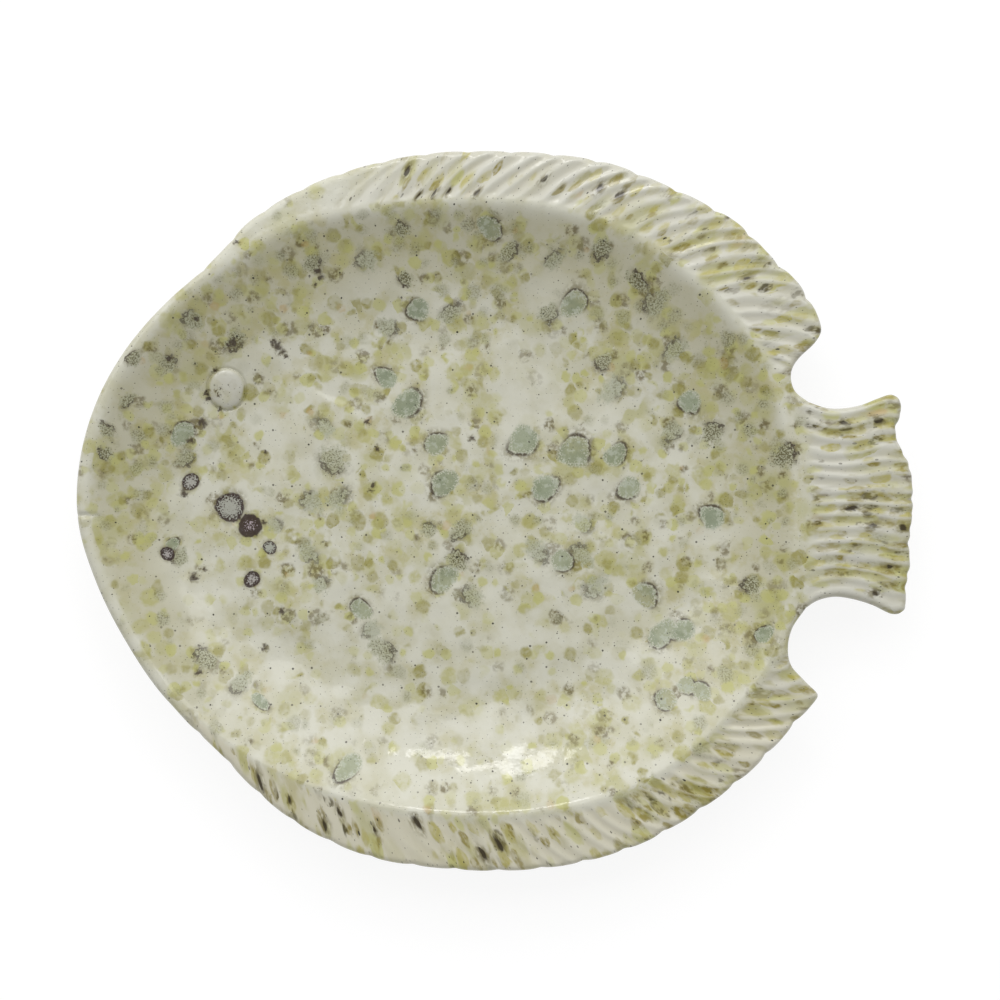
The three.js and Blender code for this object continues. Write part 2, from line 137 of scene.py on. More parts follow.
# Free edges, from the head to each corner, round the notches and along the tail
DORSAL_EDGE = [
    (-128, 101.8), (-118.5, 111), (-106, 124.5), (-82, 139.2), (-58, 148), (-30, 153.8), (0, 155),
    (27, 153.5), (50, 149.5), (72, 141), (90, 132.5), (105, 123.5), (119, 109.5), (131, 97.5), (138, 86),
    (141, 77.5),
]
DORSAL_NOTCH = [(141, 77.5), (137, 71.8), (131, 66.2), (127.8, 61.5), (127.1, 57), (128.9, 51.5), (134.4, 47)]
ANAL_EDGE = [
    (-130, -93.5), (-119.5, -103.3), (-104, -119.5), (-84, -135.3), (-55, -148.6), (-24, -153.8), (8, -154.8),
    (36, -151.5), (61, -144), (77, -135.8), (95, -124), (112, -110), (128, -92.8), (139.8, -79.5),
]
ANAL_NOTCH = [(139.8, -79.5), (132.3, -72.3), (127, -66), (125.8, -58.5), (127.6, -50.5), (133.5, -41.7)]
TAIL_UPPER = [
    (134.4, 47), (142.6, 44.4), (149.5, 44.2), (157.6, 45.7), (164.5, 48.4), (170.5, 50.2), (174.2, 49),
]
TAIL_REAR = [
    (174.2, 49), (175, 43.5), (172.6, 33), (178.8, 18.5), (180, 2.6), (179, -8.2), (178.4, -14.6),
    (178.7, -24), (177, -32.7), (176.6, -42), (173.6, -45),
]
TAIL_LOWER = [
    (133.5, -41.7), (138.3, -38.7), (145.2, -37), (152, -37.6), (161.9, -40.4), (170, -44.2), (173.6, -45),
]
GILL_REAR = [(-92, 64), (-77, 51.5), (-60, 43), (-52.5, 26), (-53, 8), (-59, -26), (-73, -44)]
SCALLOP_LENGTH, SCALLOP_START, SCALLOP_DEPTH = 18.5, 16, 1.3
SCALLOP_FRONT, FRONT_START = 0.45, 14
TAIL_NOTCH, TAIL_NOTCH_START = 0.75, 6
NOTCH_MEAN, NOTCH_SWING, NOTCH_WAVE, NOTCH_TURN = 0.6, 0.4, 0.37, 3.4
CORNER_REACH, CORNER_PASSES = 3.2, 8

# Spacing of the mesh points
EDGE_STEP = 0.85
EDGE_RINGS = (0.15, 0.5, 1, 1.65, 2.4, 3.3)
RIDGE_BAND = (-3.2, -2.4, -1.6, -0.8, 0, 0.8, 1.6, 2.4, 3.2)
RAY_COLUMNS = 8
RAY_STEP = 0.95
BASIN_STEP = 1.75
GILL_STEP, GILL_ROWS, GILL_WAY = 0.9, 4, np.array([0.97, 0.2])
EYE_TURNS, EYE_HEART, HEART_SKIP = 84, 0.4, 4
EYE_ROUNDS = (*np.linspace(0.06, 0.9, 11), 0.95, 0.975, 0.99, 1, 1.015, 1.04, 1.07, 1.1, 1.15, 1.22)
RAY_GAP, TAIL_GAP, GILL_GAP, EYE_GAP = 0.5, 0.45, 0.55, 0.02
UNDER_STEP = 4
UNDER_RINGS = (0.4, 1.1, 2.4, 4.2)

# Places of the top, the underside and the edge on the flat map for baked colours
MAP_MARGIN = 0.005
TOP_MAP, UNDER_MAP, UNDER_CORNER = (0.99, 0.66), (0.44, 0.29), (0.005, 0.7)
EDGE_MAP = (0.675, 0.69)


def smooth_curve(pairs, closed=False):
    """Points of a centripetal Catmull-Rom curve through plan points."""
    knots = np.array(pairs, float)
    if closed:
        padded = np.pad(knots, ((1, 2), (0, 0)), "wrap")
    else:
        padded = np.pad(knots, ((1, 1), (0, 0)), "reflect", reflect_type="odd")
    points = []
    share = np.arange(SPAN_STEPS)[:, None] / SPAN_STEPS
    for i in range(len(padded) - 3):
        p0, p1, p2, p3 = padded[i:i + 4]
        t0, t1, t2 = (max(np.linalg.norm(b - a), TINY) ** 0.5 for a, b in ((p0, p1), (p1, p2), (p2, p3)))
        m1 = t1 * ((p1 - p0) / t0 - (p2 - p0) / (t0 + t1) + (p2 - p1) / t1)
        m2 = t1 * ((p2 - p1) / t1 - (p3 - p1) / (t1 + t2) + (p3 - p2) / t2)
        c2 = -3 * p1 + 3 * p2 - 2 * m1 - m2
        c3 = 2 * p1 - 2 * p2 + m1 + m2
        points.append(p1 + share * (m1 + share * (c2 + share * c3)))
    if not closed:
        points.append(knots[-1:])
    return np.vstack(points)


def stations(line):
    """Distance along a line at each of its points."""
    return np.concatenate([[0], np.cumsum(np.linalg.norm(np.diff(line, axis=0), axis=1))])


def plan_at(value, table, points):
    """Plan points interpolated from a table."""
    return np.stack([np.interp(value, table, points[:, k]) for k in (0, 1)], axis=-1)


def along(line, distance):
    """Points at these distances along a line."""
    return plan_at(distance, stations(line), line)


def evenly(line, step):
    """A closed line with points a step apart."""
    loop = np.vstack([line, line[:1]])
    length = stations(loop)[-1]
    return along(loop, np.linspace(0, length, int(length / step), endpoint=False))


def unit(vectors):
    return vectors / np.linalg.norm(vectors, axis=1)[:, None]


def cross(a, b):
    """More than 0 where vector b points to the left of vector a."""
    return a[:, 0] * b[:, 1] - a[:, 1] * b[:, 0]


def left_of(line, reach=1):
    """Unit vectors to the left of a closed line at each of its points."""
    run = unit(np.roll(line, -reach, axis=0) - np.roll(line, reach, axis=0))
    return run[:, ::-1] * (-1, 1)


def tree_of(points):
    """A tree for finding the nearest of some plan points."""
    tree = KDTree(len(points))
    for i, (x, y) in enumerate(points):
        tree.insert((x, y, 0.0), i)
    tree.balance()
    return tree


class Line:
    """A line that tells how far to its left points are."""

    def __init__(self, points, closed):
        self.points, self.closed, self.tree = points, closed, tree_of(points)
        self.run = stations(points)

    def look(self, points):
        """Distance to the left of the line, and the nearest station, for each point."""
        count = len(self.points)
        near = np.array([self.tree.find((x, y, 0.0))[1] for x, y in points])
        found = []
        for start in (near - 1, near):
            start = start % count if self.closed else np.clip(start, 0, count - 2)
            a, b = self.points[start], self.points[(start + 1) % count]
            run, arm = b - a, points - a
            share = np.clip((arm * run).sum(1) / (run * run).sum(1), 0, 1)
            gap = np.hypot(*(arm - share[:, None] * run).T)
            side = np.where(cross(run, arm) < 0, -1.0, 1.0)
            found.append((gap * side, self.run[start] + share * np.hypot(*run.T)))
        first, second = found
        return np.where(np.abs(second[0]) < np.abs(first[0]), second, first)


def fade(value, low, high):
    """A smooth step from 0 at low to 1 at high."""
    t = np.clip((value - low) / (high - low), 0, 1)
    return t * t * (3 - 2 * t)


# The ridge and the outline
ridge = smooth_curve(RIDGE, closed=True)
ridge_out = -left_of(ridge, NORMAL_STEPS)
ridge_line = Line(evenly(ridge, RIDGE_STEP), True)


def ridge_run(first, last, offset=0.0):
    """Points offset outward from the ridge, between two of its knots."""
    turn = 1 if last >= first else -1
    index = np.arange(first * SPAN_STEPS, last * SPAN_STEPS + turn, turn) % len(ridge)
    return ridge[index] + offset * ridge_out[index]


def scalloped(line):
    """Pulls an edge in between its scallops, more so toward the tail."""
    run = stations(line)
    ahead = unit(np.vstack([line[1:], line[-1:]]) - np.vstack([line[:1], line[:-1]]))
    inward = ahead[:, ::-1] * (1, -1)
    inward *= np.where((inward * line).sum(1) > 0, -1.0, 1.0)[:, None]
    lobe = np.abs(np.sin(np.pi * (run[-1] - run - SCALLOP_START) / SCALLOP_LENGTH))
    share = SCALLOP_FRONT * fade(run, 0, FRONT_START) + (1 - SCALLOP_FRONT) * (run / run[-1]) ** 2
    pull = SCALLOP_DEPTH * share * (1 - lobe) ** 2
    return line + pull[:, None] * inward


def notched(line):
    """Pulls the rear edge of the tail in between the ends of its rays, unevenly."""
    run = stations(line)
    between = (0.5 + 0.5 * np.cos(TAU * TAIL_RAYS * run / run[-1])) ** RAY_BROAD
    ends = fade(run, 0, TAIL_NOTCH_START) * fade(run[-1] - run, 0, TAIL_NOTCH_START)
    pull = TAIL_NOTCH * between * ends * (NOTCH_MEAN + NOTCH_SWING * np.sin(NOTCH_WAVE * run + NOTCH_TURN))
    return line - pull[:, None] * (1, 0)


def rounded(line, corners):
    """Softens a closed line near its sharp corners."""
    for corner in corners:
        near = (np.hypot(*(line - corner).T) < CORNER_REACH)[:, None]
        for _ in range(CORNER_PASSES):
            soft = (np.roll(line, 1, axis=0) + 2 * line + np.roll(line, -1, axis=0)) / 4
            line = np.where(near, soft, line)
    return line


def fin_edge(start, knots):
    """The free edge of a fin, from the head lip on."""
    return scalloped(smooth_curve([tuple(ridge_run(start, start, LIP_WIDTH)[0])] + knots))


dorsal_edge, anal_edge = fin_edge(DORSAL_START, DORSAL_EDGE), fin_edge(ANAL_START, ANAL_EDGE)
sides = DORSAL_NOTCH, ANAL_NOTCH, TAIL_UPPER, TAIL_LOWER
dorsal_notch, anal_notch, tail_upper, tail_lower = map(smooth_curve, sides)
tail_rear = notched(smooth_curve(TAIL_REAR))
outline = np.vstack([run[:-1] for run in (
    tail_upper[::-1], dorsal_notch[::-1], dorsal_edge[::-1], ridge_run(DORSAL_START, ANAL_START, LIP_WIDTH),
    anal_edge, anal_notch, tail_lower, tail_rear[::-1],
)])
corners = TAIL_REAR[0], TAIL_REAR[-1], DORSAL_NOTCH[0], ANAL_NOTCH[0]
outline = evenly(rounded(evenly(outline, EDGE_STEP), corners), EDGE_STEP)
edge_line = Line(outline, True)
gill_line = Line(smooth_curve(GILL_REAR), False)


class Rays:
    """Small random differences between the rays of a fin: in place, height and waver."""

    def __init__(self, count, drift, heights, seed):
        draw = np.random.default_rng(seed)
        self.knots = np.arange(count)
        self.tables = [draw.uniform(*span, count) for span in ((-drift, drift), heights, (0, TAU))]

    def at(self, count, travel):
        """Crest share and height, at a count across the rays and a distance along them."""
        drift, height, turn = (np.interp(count, self.knots, table) for table in self.tables)
        phase = count + drift + RAY_WAVER * np.sin(travel / RAY_WAVE + turn)
        return (0.5 - 0.5 * np.cos(TAU * phase)) ** RAY_BROAD, height


class Fin:
    """The rays of one fin: where each starts on the ridge and ends on the free edge."""

    def __init__(self, start, tip, notch, edge, notch_edge, sweep, rise, spotted, seed):
        self.rise, self.spotted = rise, spotted
        root, tip_root = ridge_run(start, tip), ridge_run(tip, notch)
        main, tip_length = stations(root)[-1], stations(tip_root)[-1]
        self.total = main + tip_length
        self.place = np.linspace(0, self.total, RAY_SAMPLES)
        share = np.clip(self.place / main, 0, 1)
        sway = sweep * np.sqrt(share) * (1 - share) * (RAY_SQUARE - share)
        rest = np.clip((self.place - main) / tip_length, 0, 1)
        first = (self.place <= main)[:, None]
        self.root = np.where(first, along(root, share * main), along(tip_root, rest * tip_length))
        self.end = np.where(first, along(edge, (share + sway) * stations(edge)[-1]),
                            along(notch_edge, rest * stations(notch_edge)[-1]))
        # The count of rays grows with the distance across them, so that they stay evenly spaced
        move = np.gradient((self.root + self.end) / 2, axis=0)
        self.phase = np.cumsum(np.abs(cross(unit(self.end - self.root), move))) / RAY_PITCH
        self.rays = Rays(math.ceil(self.phase[-1]) + 1, RAY_DRIFT, RAY_HEIGHTS, seed)

    def ray(self, place):
        """Where rays start and end, by their places along the ridge."""
        return plan_at(place, self.place, self.root), plan_at(place, self.place, self.end)

    def relief(self, points):
        """Crest share, strength, share of the ribbed glaze, place along the ray and its direction."""
        def beyond(place):
            root, end = self.ray(place)
            return cross(end - root, points - root)

        # Halving finds the ray that each point is on
        low, high = np.zeros(len(points)), np.full(len(points), self.total)
        sign = np.sign(beyond(high) + 1e-9)
        for _ in range(HALVINGS):
            middle = (low + high) / 2
            past = beyond(middle) * sign > 0
            high, low = np.where(past, middle, high), np.where(past, low, middle)
        place = low
        root, end = self.ray(place)
        run = end - root
        length = np.maximum(np.hypot(*run.T), TINY)
        way = run / length[:, None]
        travel = ((points - root) * run).sum(1) / length
        share = np.clip(travel / length, 0, 1)
        count = np.interp(place, self.place, self.phase) + RAY_BOW * 4 * share * (1 - share)
        crest, height = self.rays.at(count, travel)
        along_fin = place / self.total
        ribbed = fade(travel, *RIB_START) * fade(length, *RIB_LENGTH) * fade(self.total - place, *RIB_TIP)
        strength = ribbed * height * fade(along_fin, *self.rise)
        return crest, strength, ribbed * fade(along_fin, *self.spotted), travel, way


dorsal = Fin(DORSAL_START, DORSAL_TIP, UPPER_NOTCH, dorsal_edge, dorsal_notch, *DORSAL_LOOK, SEED)
anal = Fin(ANAL_START, ANAL_TIP, LOWER_NOTCH, anal_edge, anal_notch, *ANAL_LOOK, SEED + 1)

# The tail's rays run between its two swept sides
tail_x = np.linspace(*TAIL_SPAN, TAIL_SAMPLES)
tail_tables = [
    np.interp(tail_x, *np.vstack([ridge[notch * SPAN_STEPS], side[:-TAIL_TRIM]]).T)
    for notch, side in ((UPPER_NOTCH, tail_upper), (LOWER_NOTCH, tail_lower))
]
tail_rays = Rays(TAIL_RAYS + 1, TAIL_DRIFT, TAIL_HEIGHTS, SEED + 2)


def tail_sides(x):
    """The upper and the lower side of the tail at each x."""
    return [np.interp(x, tail_x, table) for table in tail_tables]


def tail_place(points):
    """Which ray of the tail each point is on, counted from the upper side."""
    top, low = tail_sides(points[:, 0])
    return TAIL_RAYS * (top - points[:, 1]) / (top - low)


# Hand-made unevenness of the basin: waves of every direction and of many lengths
WAVES, WAVE_LENGTHS, WAVE_SLOPE = 28, (9, 62), 0.014
wave_draw = np.random.default_rng(SEED + 3)
wave_turn = wave_draw.uniform(0, np.pi, WAVES)
wave_length = np.geomspace(*WAVE_LENGTHS, WAVES)
wave_start = wave_draw.uniform(0, TAU, WAVES)


def unevenness(points):
    total = np.zeros(len(points))
    for turn, length, start in zip(wave_turn, wave_length, wave_start):
        way = points @ np.array([math.cos(turn), math.sin(turn)])
        total += WAVE_SLOPE * length / TAU * np.sin(TAU * way / length + start)
    return total


def from_middle(points):
    """Angle and distance of each point, seen from the middle of the floor."""
    arm = points - (FLOOR_X, FLOOR_Y)
    return np.arctan2(arm[:, 1], arm[:, 0]), np.hypot(*arm.T)


ridge_angle, ridge_reach = from_middle(ridge)


def dish(points):
    """Top and underside of the dish at each point."""
    angle, radius = from_middle(points)
    reach = np.interp(angle, ridge_angle, ridge_reach, period=TAU)
    a, b = FLOOR_LENGTH / 2, FLOOR_BREADTH / 2
    oval = a * b / np.hypot(b * np.cos(angle), a * np.sin(angle))
    up = np.maximum(0, (radius - oval) / (reach - oval))
    top = FLOOR_Z + BASIN_DEPTH * up ** 2
    slope = 2 * BASIN_DEPTH * np.minimum(up, 1.0) / (reach - oval)
    return top, top - CLAY * np.hypot(1, slope)


def shaded_wall_share(points):
    """How far up the wall each point is, but less so on the lower side, which faces the light: the share of
    painted shade, a darker, yellower olive tint for the shade and bounce light on the basin walls.
    """
    climb = (dish(points)[0] - FLOOR_Z) / BASIN_DEPTH
    off_lit_side = fade(np.sin(from_middle(points)[0]), *LIT_SIDE)
    return fade(climb, *WALL_FOOT) * (1 - fade(climb, *WALL_HEAD)) * off_lit_side


def beyond_ridge(points):
    """Distance outward from the ridge, less than 0 in the basin."""
    return -ridge_line.look(points)[0]


def edge_drop(points):
    """How far the rounded free edge has dropped at each point."""
    reach = np.maximum(0, EDGE_ROUND - np.maximum(edge_line.look(points)[0], 0))
    return EDGE_ROUND - np.sqrt(np.maximum(EDGE_ROUND ** 2 - reach ** 2, 0))


def survey(points):
    """The top surface at plan points: height, groove share, ribbed share and glaze coordinates."""
    x, y = points.T
    inside, ridge_station = ridge_line.look(points)
    out = -inside
    wall, _ = dish(points)
    crown = RIM_Z - FLANGE_FALL * out + CREST_LIFT
    blend = np.log1p(np.exp(-np.abs(wall - crown) / CREST_ROUND))
    height = np.minimum(wall, crown) - CREST_ROUND * blend
    height -= CREST_LIFT * fade(out, 0, CREST_FADE)
    height += unevenness(points) * fade(-out, 0, UNEVEN_FADE)
    groove, ribbed = np.zeros((2, len(points)))
    glaze = points.copy()

    knot = ridge_station / ridge_line.run[-1] * len(RIDGE)
    place = tail_place(points)
    on_tail = (out > 0) & (x > TAIL_START) & (place > -0.01) & (place < TAIL_RAYS + 0.01)
    above = (out > 0) & (y > 0) & (knot < DORSAL_START + FIN_OVERRUN) & ~on_tail
    below = (out > 0) & (y < 0) & (knot > ANAL_START - FIN_OVERRUN) & ~on_tail
    for fin, mask in ((dorsal, above), (anal, below)):
        crest, strength, ribbed[mask], travel, way = fin.relief(points[mask])
        height[mask] += strength * (RAY_HALF * (2 * crest - 1) - RAY_SINK)
        groove[mask] = ribbed[mask] * (1 - crest * np.clip(strength / (ribbed[mask] + 0.01), 0, 1))
        drawn = GLAZE_STRETCH * np.maximum(travel - STRETCH_START, 0) * fade(ribbed[mask], 0, 0.6)
        glaze[mask] -= drawn[:, None] * way
    crest, ray_height = tail_rays.at(place[on_tail], x[on_tail])
    strength = ray_height * fade(out[on_tail], *TAIL_RIB)
    height[on_tail] += TAIL_CALM * strength * (RAY_HALF * (2 * crest - 1) - RAY_SINK)
    groove[on_tail] = (1 - crest) * strength
    ribbed[on_tail] = np.minimum(strength, 1)
    glaze[on_tail, 0] -= GLAZE_STRETCH * np.maximum(out[on_tail] - TAIL_STRETCH, 0)

    # Gill cover: rises slowly from the head and drops at its rear edge
    gill, gill_station = gill_line.look(points)
    share = gill_station / gill_line.run[-1]
    step = (1 - fade(gill, *GILL_DROP)) * fade(gill, *GILL_CLIMB)
    height += GILL_RISE * step * fade(share, *GILL_FIRST) * (1 - fade(share, *GILL_LAST))

    # Eye: a dome in a shallow crevice
    ring = np.hypot((x - EYE[0]) / EYE_HALF[0], (y - EYE[1]) / EYE_HALF[1])
    dome = EYE_RISE * np.sqrt(np.maximum(1 - np.minimum(ring, 1) ** 3, 0))
    crevice = np.exp(-((ring - CREVICE_RING) / CREVICE_WIDTH) ** 2)
    height += dome - CREVICE_DEPTH * crevice
    groove = np.maximum(groove, crevice)
    ribbed = np.maximum(ribbed, 1 - fade(ring, *EYE_PALE))

    # Mouth: a short groove pressed across the head lip
    mouth = np.exp(-((y - MOUTH_Y) / MOUTH_HALF) ** 2) * (1 - fade(x, *MOUTH_END))
    height -= MOUTH_DEPTH * mouth
    groove = np.maximum(groove, MOUTH_STAIN * mouth)
    return height - edge_drop(points), groove, ribbed, glaze


def under_height(points):
    """The underside, from the rounded free edge in to the flat floor."""
    out = beyond_ridge(points)
    flange = RIM_Z - FLANGE_FALL * out - CLAY + edge_drop(points)
    _, under = dish(points)
    return under + (flange - under) * fade(out, *UNDER_BLEND)


def clear_of(points, others, gap):
    """The points that are at least a gap from every one of the others."""
    tree = tree_of(others)
    return points[[tree.find((x, y, 0.0))[2] >= gap for x, y in points]]


def edge_rings(depths):
    """The outline, and lines set in from it by each depth."""
    inward = left_of(outline)
    rings = [outline]
    for depth in depths:
        ring = outline + depth * inward
        rings.append(ring[edge_line.look(ring)[0] > 0.94 * depth])
    return np.vstack(rings)


def honeycomb(step, line):
    """Points of a triangular grid that covers a closed line."""
    low, high = line.min(0), line.max(0)
    xs = np.arange(low[0], high[0], step)
    ys = np.arange(low[1], high[1], step * math.sqrt(0.75))
    grid = np.stack(np.meshgrid(xs, ys), axis=-1)
    grid[1::2, :, 0] += 0.5 * step
    return grid.reshape(-1, 2)


def top_points():
    """Plan points of the top, closer together where its relief is fine."""
    points = edge_rings(EDGE_RINGS)
    rest = EDGE_RINGS[-1] + 0.5

    def add(new, gap, clear_edge=rest):
        new = new[edge_line.look(new)[0] > clear_edge]
        return np.vstack([points, clear_of(new, points, gap)])

    crest = evenly(ridge, RAY_STEP)
    out = -left_of(crest)
    points = add(np.vstack([crest + offset * out for offset in RIDGE_BAND]), RAY_GAP, 0.6)
    turns = np.linspace(0, TAU, EYE_TURNS, endpoint=False)
    eye = [(EYE[0] + r * EYE_HALF[0] * math.cos(t), EYE[1] + r * EYE_HALF[1] * math.sin(t))
           for r in EYE_ROUNDS for t in turns[:: 1 if r > EYE_HEART else HEART_SKIP]]
    points = add(np.array(eye), EYE_GAP)
    gill = along(gill_line.points, np.arange(0, gill_line.run[-1], GILL_STEP))
    rows = range(-GILL_ROWS, GILL_ROWS + 1)
    points = add(np.vstack([gill + row * GILL_STEP * GILL_WAY for row in rows]), GILL_GAP)
    for fin in (dorsal, anal):
        counts = np.arange(0, fin.phase[-1], 1 / RAY_COLUMNS)
        rays = []
        for root, end in zip(*fin.ray(np.interp(counts, fin.phase, fin.place))):
            length = np.hypot(*(end - root))
            travel = np.arange(4.0, length - rest, RAY_STEP)
            rays.append(root + (end - root) * (travel / length)[:, None])
        points = add(np.vstack(rays), RAY_GAP)
    rows = np.arange(0, TAIL_RAYS, 1 / RAY_COLUMNS)
    xs = np.arange(122, 180, RAY_STEP)
    columns = zip(xs, *tail_sides(xs))
    tail = np.array([(x, t - (t - b) * row / TAIL_RAYS) for x, t, b in columns for row in rows])
    points = add(tail[beyond_ridge(tail) > 3.9], TAIL_GAP)
    floor = honeycomb(BASIN_STEP, ridge)
    floor = floor[beyond_ridge(floor) < RIDGE_BAND[0] - 1.2]
    return add(floor, 0.6 * BASIN_STEP)


def under_points():
    points = edge_rings(UNDER_RINGS)
    floor = honeycomb(UNDER_STEP, outline)
    floor = floor[edge_line.look(floor)[0] > UNDER_RINGS[-1] + 1.5]
    return np.vstack([points, floor])


def triangles(points):
    """Triangles between the points, inside the outline, all facing up. The outline comes first."""
    count = len(outline)
    border = [(i, (i + 1) % count) for i in range(count)]
    made = delaunay_2d_cdt([Vector(p) for p in points], border, [], 1, TINY, True)
    faces = np.array([ids[0] for ids in made[3]])[np.array(made[2])]
    faces = faces[edge_line.look(points[faces].sum(1) / 3)[0] > 0]
    a, b, c = (points[faces[:, k]] for k in range(3))
    down = cross(b - a, c - a) < 0
    faces[down] = faces[down][:, ::-1]
    return faces


def placed(name, data):
    made = bpy.data.objects.new(name, data)
    bpy.context.scene.collection.objects.link(made)
    return made


def mesh_object(name, vertices, faces):
    """A smooth mesh from points in millimetres."""
    mesh = bpy.data.meshes.new(name)
    mesh.from_pydata((vertices * MM).tolist(), [], faces, shade_flat=False)
    mesh.update()
    return placed(name, mesh)


def bake_map(mesh, top, under, faces):
    """Lays the top, the underside and the edge out flat, for baked colours."""
    low, size = outline.min(0), np.ptp(outline, axis=0)
    flat_top = (top - low) / size * TOP_MAP + MAP_MARGIN
    flat_under = (under - low) / size * UNDER_MAP + UNDER_CORNER
    flat = np.vstack([flat_top, flat_under])[faces.ravel()]
    run = MAP_MARGIN + TOP_MAP[0] * (np.arange(len(outline) + 1) / len(outline))
    left, right = run[:-1], run[1:]
    near, far = (np.full(len(outline), place) for place in EDGE_MAP)
    strip = np.column_stack([left, near, right, near, right, far, left, far])
    layer = mesh.uv_layers.new(name="OFBake")
    layer.data.foreach_set("uv", np.concatenate([flat.ravel(), strip.ravel()]))


def glazed_skin():
    """The whole glazed tray as one closed skin."""
    top, under = top_points(), under_points()
    height, groove, ribbed, glaze = survey(top)
    base = len(top)
    faces = np.vstack([triangles(top), triangles(under)[:, ::-1] + base])
    ring = np.arange(len(outline))
    ahead = np.roll(ring, -1)
    wall = np.stack([base + ring, base + ahead, ahead, ring], axis=1)
    vertices = np.vstack([np.column_stack([top, height]), np.column_stack([under, under_height(under)])])
    vertices = np.clip(vertices, np.array(cad_low) / MM, np.array(cad_high) / MM)
    skin = mesh_object("glazed_tray", vertices, faces.tolist() + wall.tolist())
    mesh = skin.data
    spread = np.vstack([glaze, under])
    coords = mesh.attributes.new("glaze", "FLOAT_VECTOR", "POINT")
    coords.data.foreach_set("vector", np.pad(spread, ((0, 0), (0, 1))).ravel())
    # Each field has a value for every point of the top, and one for the whole underside
    fields = {
        # The wall share sets the painted shade on the basin walls
        "groove": (groove, 0), "ribbed": (ribbed, 0), "wall": (shaded_wall_share(top), 0),
        "spot_share": (spot_share(top), 1), "upper": (np.ones(len(top)), 0),
        # Painted light on the lower anal fin, which faces away from the lamps
        "painted_fin_light": (ribbed * fade(-top[:, 1], *FIN_LIGHT_REACH), 0),
    }
    for name, marks, bend in MARKS:
        gap, tone, side = mark_fields(top, marks, bend)
        fields.update({name: (gap, FAR), name + "_tone": (tone, 0), name + "_side": (side, 0)})
    for name, (values, beneath) in fields.items():
        field = mesh.attributes.new(name, "FLOAT", "POINT")
        field.data.foreach_set("value", np.concatenate([values, np.full(len(under), float(beneath))]))
    bake_map(mesh, top, under, faces)
    return skin


def foot_ring():
    """The bare clay foot: an oval ring with worn, rounded corners."""
    profile = FOOT_PROFILE + [(FOOT_WIDTH - inset, z) for inset, z in reversed(FOOT_PROFILE)]
    swing = np.random.default_rng(SEED + 4).uniform(0, TAU, FOOT_SWINGS)
    turn = TAU * np.arange(FOOT_SIDES)[:, None] / FOOT_SIDES
    worn = FOOT_WEAR * np.sin((np.arange(FOOT_SWINGS) + 3) * turn + swing).mean(1, keepdims=True)
    inset, z = np.array(profile).T
    a, b = (side / 2 - FOOT_SETBACK - inset for side in (FLOOR_LENGTH, FLOOR_BREADTH))
    x, y = (a + worn) * np.cos(turn) + FLOOR_X, (b + worn * b / a) * np.sin(turn) + FLOOR_Y
    here = np.arange(x.size).reshape(x.shape)
    ahead = np.roll(here, -1, axis=0)
    faces = np.stack([here, np.roll(here, -1, axis=1), np.roll(ahead, -1, axis=1), ahead], axis=-1)
    vertices = np.stack([x, y, np.broadcast_to(z, x.shape)], axis=-1)
    return mesh_object("foot_ring_clay", vertices.reshape(-1, 3), faces.reshape(-1, 4).tolist())


# Materials


def linear(red, green, blue):
    """A screen colour from 0 to 255, as the linear colour that the shaders use."""
    parts = red / 255, green / 255, blue / 255
    return (*[c / 12.92 if c <= 0.04045 else ((c + 0.055) / 1.055) ** 2.4 for c in parts], 1)


